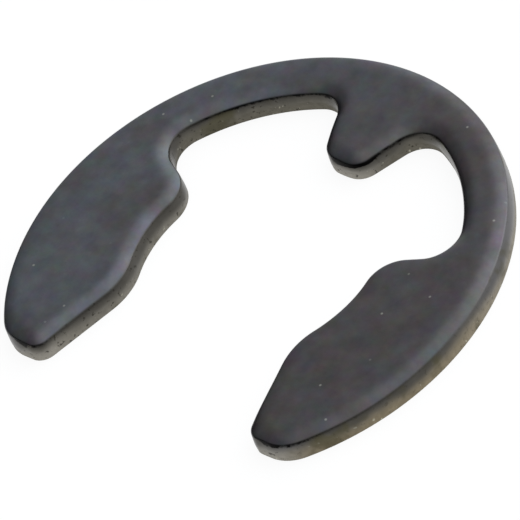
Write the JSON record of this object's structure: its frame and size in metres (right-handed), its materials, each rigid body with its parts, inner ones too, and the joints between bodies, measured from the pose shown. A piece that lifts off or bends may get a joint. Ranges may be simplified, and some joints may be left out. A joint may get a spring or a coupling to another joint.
{
  "type": "circlip",
  "caption": "Flat E-shaped circlip for a shaft groove: a round rim, a centre lug and two prongs about an open mouth, blanked from blackened spring steel.",
  "frame": {"origin": "centre of the shaft groove that the clip grips, on the burr face that it lies on", "axes": "+Z is the shaft's axis, out of the face with the rolled edge; the mouth opens to -Y; +X runs across the two prongs"},
  "size_m": [0.0294, 0.0251, 0.0015],
  "materials": {
    "spring_steel": "satin"
  },
  "bodies": {
    "root": {"e_clip": "spring_steel"}
  },
  "joints": []
}
